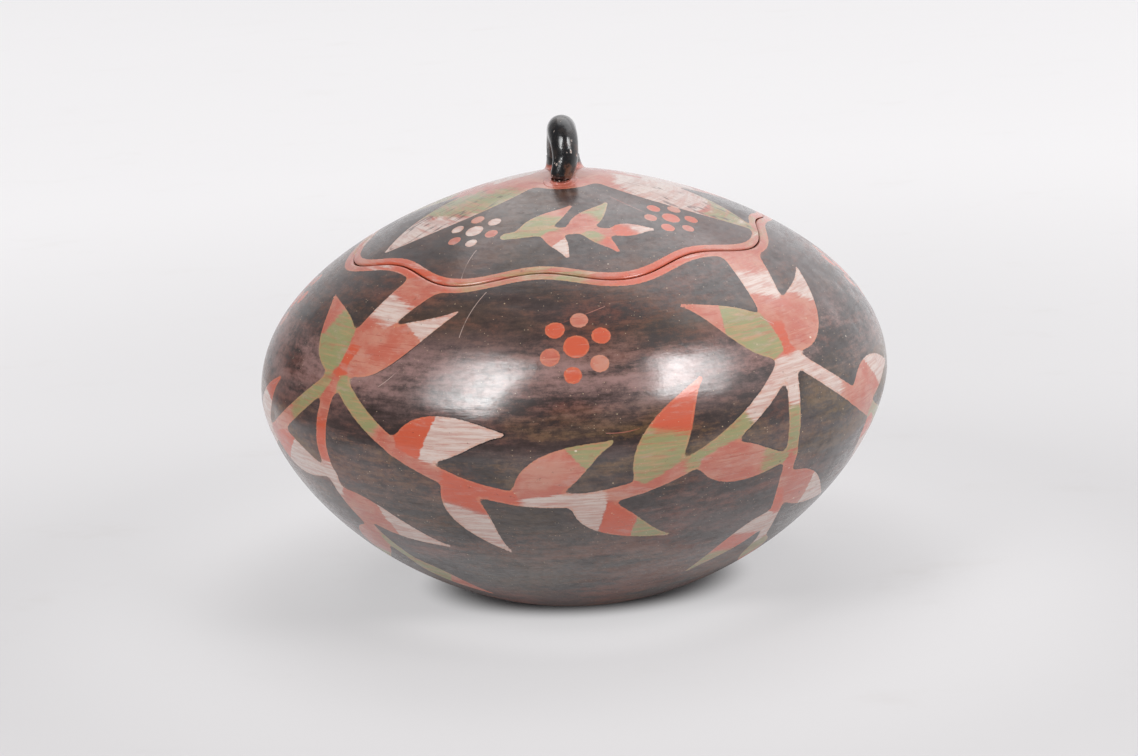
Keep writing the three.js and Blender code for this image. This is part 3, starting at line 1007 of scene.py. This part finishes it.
def add_body():
    rows, outside = body_rows()
    mesh, points = lathe_mesh("jar_body_skin", rows, 0.0, FLOOR_THICKNESS)
    painted = outside * SEGMENTS
    # The poles come last, so the base's own pole is unpainted as the inside is.
    sheet = paint_belly(points, painted)
    write_paint(mesh, sheet)
    dent(mesh, points, sheet, painted)
    new_piece(mesh, "jar", "jar_body", "body_clay", painted_clay("body_clay"), raw_clay("inside_clay"))
    inside_faces(mesh, outside - 1, len(rows) - 1)


SHOULDER_DENTS = 34
OTHER_DENTS = 22


def dent(mesh, points, sheet, outside_count):
    """Presses small shallow dents into the outside: most on the right shoulder, a few all round."""
    draw = np.random.default_rng(8)
    places = [(draw.uniform(-44, 2), draw.uniform(16, 52)) for _ in range(SHOULDER_DENTS)]
    places += [(draw.uniform(0, 360), draw.uniform(-30, 50)) for _ in range(OTHER_DENTS)]
    depth = np.zeros(len(points))
    for place in places:
        u, v = sheet.relative(place)
        width, height = draw.uniform(1.5, 3.6), draw.uniform(1.3, 2.2)
        depth += draw.uniform(0.10, 0.28) * np.exp(-(u / width) ** 2 - (v / height) ** 2)
    depth[outside_count:] = 0
    inward = np.array([0, 0, BELLY_DEPTH]) - points
    inward /= np.maximum(np.linalg.norm(inward, axis=1), 1)[:, None]
    pressed = (points + inward * depth[:, None]) * MM
    mesh.vertices.foreach_set("co", pressed.astype(np.float32).ravel())
    mesh.update()


def add_lid():
    rows, inside = lid_rows()
    mesh, points = lathe_mesh("lid_skin", rows, LID_TOP - WALL, LID_TOP)
    sheet = paint_lid(points, inside * SEGMENTS)
    write_paint(mesh, sheet)
    new_piece(mesh, "lid", "lid_shell", "lid_clay", painted_clay("lid_clay"), raw_clay("underside_clay"))
    inside_faces(mesh, 0, inside)


def write_paint(mesh, sheet):
    set_values(mesh, "edge", np.clip(sheet.edge, -FAR, FAR))
    for name in MARKS:
        set_values(mesh, name, sheet.marks[name])
    for number, name in enumerate(("olive", "white", "red")):
        set_values(mesh, name, sheet.tones[:, number])


def inside_faces(mesh, first_row, end_row):
    """Gives the faces between two rings the second material."""
    numbers = np.zeros(len(mesh.polygons), np.int32)
    numbers[first_row * SEGMENTS:end_row * SEGMENTS] = 1
    mesh.polygons.foreach_set("material_index", numbers)


def catmull_rom(points, steps):
    """A centripetal curve through points, sampled in equal lengths."""
    points = np.array(points, float)
    points = np.concatenate([[2 * points[0] - points[1]], points, [2 * points[-1] - points[-2]]])
    found = []
    for a, b, c, d in zip(points, points[1:], points[2:], points[3:]):
        before, here, after = (math.sqrt(np.linalg.norm(q - p)) for p, q in ((a, b), (b, c), (c, d)))
        leave = ((b - a) / before - (c - a) / (before + here) + (c - b) / here) * here
        arrive = ((c - b) / here - (d - b) / (here + after) + (d - c) / after) * here
        for t in np.linspace(0, 1, CURVE_STEPS, endpoint=False):
            bend = (-3 * b + 3 * c - 2 * leave - arrive) * t**2 + (2 * b - 2 * c + leave + arrive) * t**3
            found.append(b + leave * t + bend)
    found = np.array(found + [points[-2]])
    length = lengths_along(found)
    even = np.linspace(0, length[-1], steps)
    return np.stack([np.interp(even, length, found[:, axis]) for axis in range(3)], -1)


FRONT_HEIGHT = float(crown_height(np.array(FRONT_FOOT), 0))
BACK_HEIGHT = float(crown_height(np.array(BACK_FOOT), 0))
LOOP_TOP = HANDLE_HIGH[2] - LOOP_RADIUS


def middle_line():
    points = []
    for along, up, bow in MIDDLE_LINE:
        y = -FRONT_FOOT + (FRONT_FOOT + BACK_FOOT) * along
        foot = FRONT_HEIGHT + (BACK_HEIGHT - FRONT_HEIGHT) * along
        points.append(np.array([-bow, y, foot + (LOOP_TOP - foot) * up]))
    down = np.array([0, 0, FOOT_DEPTH])
    return catmull_rom([points[0] - down, *points, points[-1] - down], COIL_RINGS)


def coil_radius(share):
    swell = np.sin(np.pi / 2 * np.minimum(share / LOOP_SHARE, 1))
    rise = TOE_RADIUS + (LOOP_RADIUS - TOE_RADIUS) * swell
    past = np.clip((share - LOOP_SHARE) / (1 - LOOP_SHARE), 0, 1)
    above = share * LINE_LENGTH - FOOT_DEPTH
    rounded = np.sqrt(1 - TOE_LOSS * np.clip(1 - above / TOE_ROUNDING, 0, 1) ** 2)
    return (rise + (HEEL_RADIUS - LOOP_RADIUS) * past**1.5) * rounded


LINE = middle_line()
LINE_LENGTH = lengths_along(LINE)[-1]
LINE_SHARES = np.linspace(0, 1, COIL_RINGS)


def above_crown(points):
    return points[:, 2] - crown_height(np.hypot(points[:, 0], points[:, 1]), 0)


def lumps(points, scale, seed):
    """Smooth hand-made unevenness between 0 and 1 from a few crossing waves."""
    draw = np.random.default_rng(seed)
    total = np.zeros(len(points))
    for _ in range(COIL_WAVES):
        way = unit(draw.normal(size=3))
        wave = scale * draw.uniform(0.7, 1.6)
        total += np.sin(points @ way * 2 * np.pi / wave + draw.uniform(0, 6.3))
    return 0.5 + total / (2 * COIL_WAVES)


def add_handle():
    """The coil, swept as rings; its ends run on just inside the lid's skin."""
    ahead = unit(np.gradient(LINE, axis=0))
    across = unit(np.cross(ahead, np.cross(np.array([1.0, 0, 0]), ahead)))
    upward = np.cross(across, ahead)
    around = np.arange(COIL_SIDES) / COIL_SIDES * 2 * np.pi
    normals = (np.cos(around)[None, :, None] * across[:, None] +
               np.sin(around)[None, :, None] * upward[:, None])
    rings = LINE[:, None] + normals * coil_radius(LINE_SHARES)[:, None, None]
    uneven = lumps(rings.reshape(-1, 3), 9, 3).reshape(COIL_RINGS, COIL_SIDES)
    rings = rings - normals * (COIL_SHRINK + COIL_HOLLOW * uneven)[..., None]
    points = rings.reshape(-1, 3)
    faces = tube_faces(COIL_RINGS, COIL_SIDES)
    faces.append(tuple(reversed(range(COIL_SIDES))))
    faces.append(tuple(range((COIL_RINGS - 1) * COIL_SIDES, COIL_RINGS * COIL_SIDES)))
    mesh = smooth_mesh("handle_coil", points * MM, faces)
    height = above_crown(points)
    is_back = points[:, 1] > 0
    slip = np.where(is_back, 0.8 - height / 3, 0.5 - height)
    set_values(mesh, "low", np.clip((13 - height) / 7, 0, 1))
    set_values(mesh, "slip", np.clip(slip, 0, 1))
    new_piece(mesh, "lid", "lid_handle", "handle_clay", handle_clay("handle_clay"))


def line_near(foot_y, height):
    """The coil's centre and radius where it stands at a height, on one foot's side."""
    side = LINE[:, 1] * np.sign(foot_y) > abs(foot_y) * 0.5
    nearest = np.argmin(np.where(side, np.abs(LINE[:, 2] - height), FAR))
    return LINE[nearest], float(coil_radius(LINE_SHARES[nearest]))


def add_collar(name, node, foot_y, foot_height, collar_height, collar_radius, material):
    """A fillet of clay round one foot, which follows the coil at its top and the crown at its skirt."""
    around = np.arange(COLLAR_SIDES) / COLLAR_SIDES * 2 * np.pi
    loops = []
    for share in np.linspace(0, 1, COLLAR_RINGS):
        lift = collar_height * (1 - share) ** COLLAR_FALL
        centre, coil = line_near(foot_y, foot_height + lift)
        uneven = 1 + 0.05 * np.sin(2 * around + foot_y) + 0.03 * np.sin(5 * around)
        spread = (collar_radius * COLLAR_REACH * uneven - coil) * share**COLLAR_SPREAD
        out = coil - COLLAR_OVERLAP + spread
        x = centre[0] + out * np.cos(around)
        y = centre[1] + out * np.sin(around)
        loops.append(np.stack([x, y, crown_height(np.hypot(x, y), 0) + COLLAR_LIFT + lift], -1))
    skirt = loops[-1].copy()
    skirt[:, 2] -= SKIRT_DEPTH
    inner = loops[0].copy()
    inner[:, 2] -= collar_height + SKIRT_DEPTH
    loops = [*loops, skirt, inner]
    points = np.concatenate(loops)
    faces = []
    for number in range(len(loops)):
        faces += ring_faces((number + 1) % len(loops), number, COLLAR_SIDES)
    mesh = smooth_mesh(name, points * MM, faces)
    set_values(mesh, "lift", np.clip(above_crown(points) / BACK_COLLAR_HEIGHT, 0, 1))
    new_piece(mesh, "lid", node, "collar_slip", material)


add_body()
add_lid()
add_handle()
slip = collar_slip("collar_slip")
add_collar("front_collar_fillet", "front_handle_collar", -FRONT_FOOT, FRONT_HEIGHT,
           FRONT_COLLAR_HEIGHT, FRONT_COLLAR_RADIUS, slip)
add_collar("back_collar_fillet", "back_handle_collar", BACK_FOOT, BACK_HEIGHT,
           BACK_COLLAR_HEIGHT, BACK_COLLAR_RADIUS, slip)


# Stage and light

def disc_mesh(name, rings):
    """A round sheet from rings given as radius and height."""
    points = [(0, 0, rings[0][1])]
    for radius, height in rings:
        for side in range(DISC_SIDES):
            turn = 2 * math.pi * side / DISC_SIDES
            points.append((radius * math.cos(turn), radius * math.sin(turn), height))
    faces = [(0, 1 + side, 1 + (side + 1) % DISC_SIDES) for side in range(DISC_SIDES)]
    for number in range(len(rings) - 1):
        for side in range(DISC_SIDES):
            a = 1 + number * DISC_SIDES + side
            b = 1 + number * DISC_SIDES + (side + 1) % DISC_SIDES
            faces.append((a, a + DISC_SIDES, b + DISC_SIDES, b))
    return smooth_mesh(name, points, faces)


TABLE_RADIUS = 0.46
SWEEP_START = 2.2
SWEEP_RADIUS = 1.6
SWEEP_DROP = 0.0003  # the sweep lies this far under the table top, which hides its middle


def add_floor():
    """A pale round sweep that curves up far behind; only the part near the jar shows in its gloss."""
    paper = paper_with_painted_light("paper_with_painted_light")
    top = disc_mesh("table_top", [(TABLE_RADIUS / 3, 0), (TABLE_RADIUS, 0)])
    near = add_object("table_top", top)
    rings = [(radius, -SWEEP_DROP) for radius in (TABLE_RADIUS, 1.0, SWEEP_START)]
    for step in range(1, 13):
        angle = math.pi / 2 * step / 12
        rings.append((SWEEP_START + SWEEP_RADIUS * math.sin(angle), SWEEP_RADIUS * (1 - math.cos(angle))))
    rings.append((SWEEP_START + SWEEP_RADIUS, 2 * SWEEP_RADIUS))
    far = add_object("sweep", disc_mesh("sweep", rings))
    for piece in (near, far):
        piece.data.materials.append(paper)
    far.visible_glossy = False
    far.visible_diffuse = False
    far.visible_shadow = False


def fade(data, left, right, low, high):
    """Dims a light towards its edges: the shares of its brightness that are left at each."""
    n = Nodes(data)
    x, y, _ = n.split(n.add("NewGeometry").outputs["Parametric"])
    strength = n.times(n.ramp(x, 0, 1, left, right), n.ramp(y, 0, 1, low, high))
    n.put(strength, n.tree.nodes["Emission"].inputs["Strength"])


def area_light(name, azimuth, elevation, distance, width, height, brightness, seen=True, roll=0,
               edges=None):
    """A soft light aimed at the jar; azimuth is counted from the camera's side to the right, and
    brightness is what its face would show."""
    data = bpy.data.lights.new(name, "AREA")
    data.shape = "RECTANGLE"
    data.size = width
    data.size_y = height
    data.energy = brightness * math.pi * width * height
    if edges:
        fade(data, *edges)
    light = add_object(name, data)
    a, e = math.radians(azimuth), math.radians(elevation)
    way = Vector((math.sin(a) * math.cos(e), -math.cos(a) * math.cos(e), math.sin(e)))
    light.location = Vector((0, 0, BELLY_DEPTH * MM)) + way * distance
    turn = way.to_track_quat("Z", "Y").to_matrix() @ Matrix.Rotation(math.radians(roll), 3, "Z")
    light.rotation_euler = turn.to_euler()
    light.visible_camera = False
    light.visible_glossy = seen


add_floor()
area_light("left_box", -45, 41, 1.15, 0.52, 0.70, 10.3, edges=(0.25, 1.2, 1, 1))
area_light("right_box", 50, 39, 1.15, 0.46, 0.58, 10.3, roll=-28, edges=(1.15, 0.4, 1, 1))
area_light("top_box", 157, 58, 1.6, 1.9, 1.2, 0.85)
area_light("front_fill", 0, 14, 2.7, 4.2, 1.0, 4.0, seen=False)
area_light("left_fill", -105, 14, 2.4, 2.6, 1.0, 3.5, seen=False)
area_light("right_fill", 105, 14, 2.4, 2.6, 1.0, 4.5, seen=False)
area_light("back_fill", 180, 50, 1.7, 1.6, 1.0, 1.2, seen=False)


PALE_SIDE = math.radians(44)  # how far the pale side of the world is turned from behind to the right


def make_world():
    """Dim all round, paler behind and to the right."""
    world = bpy.data.worlds.new("studio")
    bpy.context.scene.world = world
    n = Nodes(world)
    _, behind, _ = n.split(n.place(turn=(0, 0, PALE_SIDE), source="Generated"))
    background = n.tree.nodes["Background"]
    n.put(n.ramp(behind, -0.25, 0.9, 0.11, 0.96), background.inputs["Strength"])
    n.put((1.0, 0.985, 1.0, 1), background.inputs["Color"])


make_world()
bpy.context.scene.view_settings.view_transform = "Standard"
